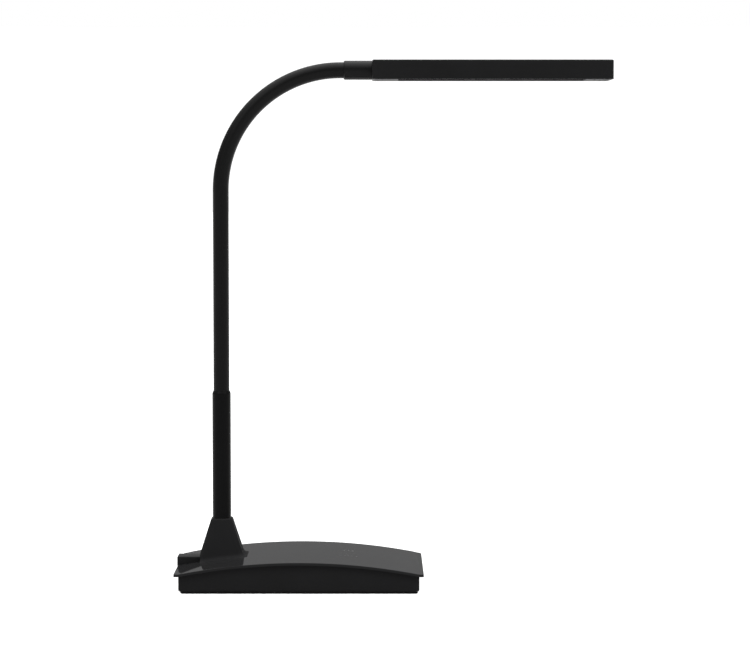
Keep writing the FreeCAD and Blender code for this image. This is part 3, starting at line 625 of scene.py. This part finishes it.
collar = {"name": "collar_ring", "stands": ["head_collar"], "body": "head",
          "finish": "collar_black", "slot": "satin_black", "bore": 0.00605, "chamfer": 0.0006, "backRound": 0.0003}
housing = {"name": "housing_shell", "stands": ["head_housing"], "body": "head", "finish": "satin_black",
           "corner": 0.0024, "wall": 0.0018, "topRound": 0.0012, "lowRound": 0.0002}
bezel = {"name": "bezel_frame", "stands": ["head_bezel"], "body": "head", "finish": "bezel_black",
         "edgeRound": 0.00015, "sharp": 40}
window = {"name": "window_strip", "stands": ["diffuser"], "body": "head", "finish": "milky_diffuser",
          "edgeRound": 0.0001, "sharp": 40}
screws = {"name": "screw_heads", "stands": ["head_screws"], "body": "head", "finish": "screw_steel",
          "fromEnd": 0.0058, "side": 0.0192, "headRadius": 0.0022, "shankRadius": 0.00145, "cone": 0.0011,
          "edge": 0.00015, "arm": 0.0013, "armHalf": 0.00028, "recess": 0.0008, "recessFloor": 0.7,
          "floorMiddle": 0.02, "endShare": 0.8, "endMiddle": 0.0001, "steps": 64}


def makeCollar(s):
    # A ring turned round the neck's level end, chamfered towards the neck.
    low, high = boxOf("head_collar")
    radius = (high[1] - low[1]) / 2
    profile = [[low[0], s["bore"]], [low[0], radius - s["chamfer"]], [low[0] + s["chamfer"], radius],
               [high[0] - s["backRound"], radius], [high[0], radius - s["backRound"]], [high[0], s["bore"]]]
    grid = turnedGrid(profile)
    hoopPiece(s, np.stack([grid[..., 2], grid[..., 0], grid[..., 1] + middleOf("head_collar")[2]], -1))


def makeHousing(s):
    # Outer skin with rounded edges, and the inner walls and roof, as one closed shell.
    low, high = boxOf("head_housing")
    height = high[2] - low[2]
    outside = wallProfile(height, s["lowRound"], s["topRound"])[1:]
    inside = np.array([[s["wall"] + s["lowRound"], height - s["wall"]], [s["wall"], height - s["wall"] - s["lowRound"]],
                       [s["wall"], s["lowRound"]]])
    middle = (low + high) / 2
    blockPiece(s, blockGrid(np.concatenate([inside, outside]), (high - low)[:2], s["corner"],
                            [middle[0], middle[1], low[2]]))


def makeScrews(s):
    # Countersunk screws, heads down, each with a cross recess. The cross's edge lies at arm over the cosine, or at
    # armHalf over the sine, of the turn from the nearest arm, whichever is less.
    low, high = boxOf("head_screws")
    barLow, barHigh = boxOf("head_housing")
    turn = np.linspace(0, 2 * np.pi, s["steps"], endpoint=False)
    fold = np.abs((turn + np.pi / 4) % (np.pi / 2) - np.pi / 4)
    cross = np.minimum(s["arm"] / np.cos(fold), s["armHalf"] / np.maximum(np.sin(fold), 0.001))
    face, edge, head, shank = low[2], s["edge"], s["headRadius"], s["shankRadius"]
    rings = [(cross * s["floorMiddle"], face + s["recess"]), (cross * s["recessFloor"], face + s["recess"]),
             (cross, face), (head - 2 * edge, face), (head - edge, face), (head, face + edge),
             (shank, face + s["cone"]), (shank, high[2] - edge), (shank * s["endShare"], high[2]),
             (s["endMiddle"], high[2])]
    grid = np.array([np.stack([radius * np.cos(turn), radius * np.sin(turn), np.full_like(turn, z)], 1)
                     for radius, z in rings])
    last = (len(grid) - 1) * len(turn)
    faces = ringFaces(len(grid), len(turn)) + [list(range(len(turn))), list(range(last, last + len(turn)))]
    places = [(x, y, 0) for x in (barLow[0] + s["fromEnd"], barHigh[0] - s["fromEnd"]) for y in (-s["side"], s["side"])]
    makePiece(s, *joinedParts([(grid + place, faces) for place in places]))


makeCollar(collar)
makeHousing(housing)
makeScrews(screws)
bevelledCopy(bezel)
bevelledCopy(window)
print("head ready")

# Floor, white rim, soft sky and lamps

stage = {"floorRadius": 14.0, "rimHeight": 1.15, "rimTurns": 96, "floorColour": 0.35, "glow": 0.8}


def whiteStageMaterial(s):
    # Pale matt surface that cameras and glossy or clear surfaces see as white, with the object's shadow kept.
    material = bpy.data.materials.new("white_sweep")
    material.use_nodes = True
    tree = material.node_tree
    tree.nodes.clear()
    path = addNode(tree, "ShaderNodeLightPath").outputs
    seen = path["Is Camera Ray"]
    for kind in ("Is Glossy Ray", "Is Transmission Ray"):
        seen = addNode(tree, "ShaderNodeMath", {"operation": "MAXIMUM"}, {0: seen, 1: path[kind]}).outputs[0]
    glow = addNode(tree, "ShaderNodeMath", {"operation": "MULTIPLY", 1: s["glow"]}, {0: seen})
    emission = addNode(tree, "ShaderNodeEmission", {"Color": (1, 1, 1, 1)}, {"Strength": glow.outputs[0]})
    pale = (s["floorColour"],) * 3
    matt = addNode(tree, "ShaderNodeBsdfDiffuse", {"Color": (*pale, 1)})
    both = addNode(tree, "ShaderNodeAddShader", links={0: emission.outputs[0], 1: matt.outputs[0]})
    addNode(tree, "ShaderNodeOutputMaterial", links={"Surface": both.outputs[0]})
    return material


def makeStage(s):
    # Round floor with a low upright rim, so that every level view ends on white.
    turn = np.linspace(0, 2 * np.pi, s["rimTurns"], endpoint=False)
    ring = np.stack([np.cos(turn), np.sin(turn), np.zeros_like(turn)], 1) * s["floorRadius"]
    points = np.concatenate([ring, ring + [0, 0, s["rimHeight"]]])
    mesh = bpy.data.meshes.new("floor")
    mesh.from_pydata(points.tolist(), [], [list(range(len(turn)))] + ringFaces(2, len(turn)))
    mesh.materials.append(whiteStageMaterial(s))
    item = bpy.data.objects.new("floor", mesh)
    bpy.context.scene.collection.objects.link(item)


# Brightness of the sky by the upward part of the direction: white to the rim's height, dim above it, and a wide
# soft light overhead
sky = ((0.0, 1.0), (0.085, 1.0), (0.11, 0.31), (0.25, 0.31), (0.375, 0.5), (0.57, 1.1), (0.73, 2.3), (0.875, 3.7),
       (1.0, 5.0))


def makeSky():
    world = bpy.data.worlds.new("studio")
    bpy.context.scene.world = world
    world.use_nodes = True
    tree = world.node_tree
    direction = addNode(tree, "ShaderNodeTexCoord").outputs["Generated"]
    parts = addNode(tree, "ShaderNodeSeparateXYZ", links={"Vector": direction})
    strongest = max(level for _, level in sky)
    colour = addRamp(tree, parts.outputs["Z"], [(position, (level / strongest,) * 3) for position, level in sky])
    background = tree.nodes["Background"]
    background.inputs["Strength"].default_value = strongest
    tree.links.new(colour, background.inputs["Color"])


lamps = [
    {"name": "key_left", "place": (-1.2, -1.6, 1.6), "size": 1.2, "power": 10},
    {"name": "fill_right", "place": (1.6, -1.2, 1.3), "size": 1.2, "power": 8},
]
lampTarget = (0.03, 0, 0.2)


def makeLamp(s):
    data = bpy.data.lights.new(s["name"], "AREA")
    data.energy = s["power"]
    data.size = s["size"]
    item = bpy.data.objects.new(s["name"], data)
    item.location = s["place"]
    aim = np.array(lampTarget) - np.array(s["place"])
    level = math.hypot(aim[0], aim[1])
    item.rotation_euler = (math.atan2(level, -aim[2]), 0, math.atan2(aim[1], aim[0]) - math.pi / 2)
    bpy.context.scene.collection.objects.link(item)


makeStage(stage)
makeSky()
for lamp in lamps:
    makeLamp(lamp)
print("stage and lamps ready")
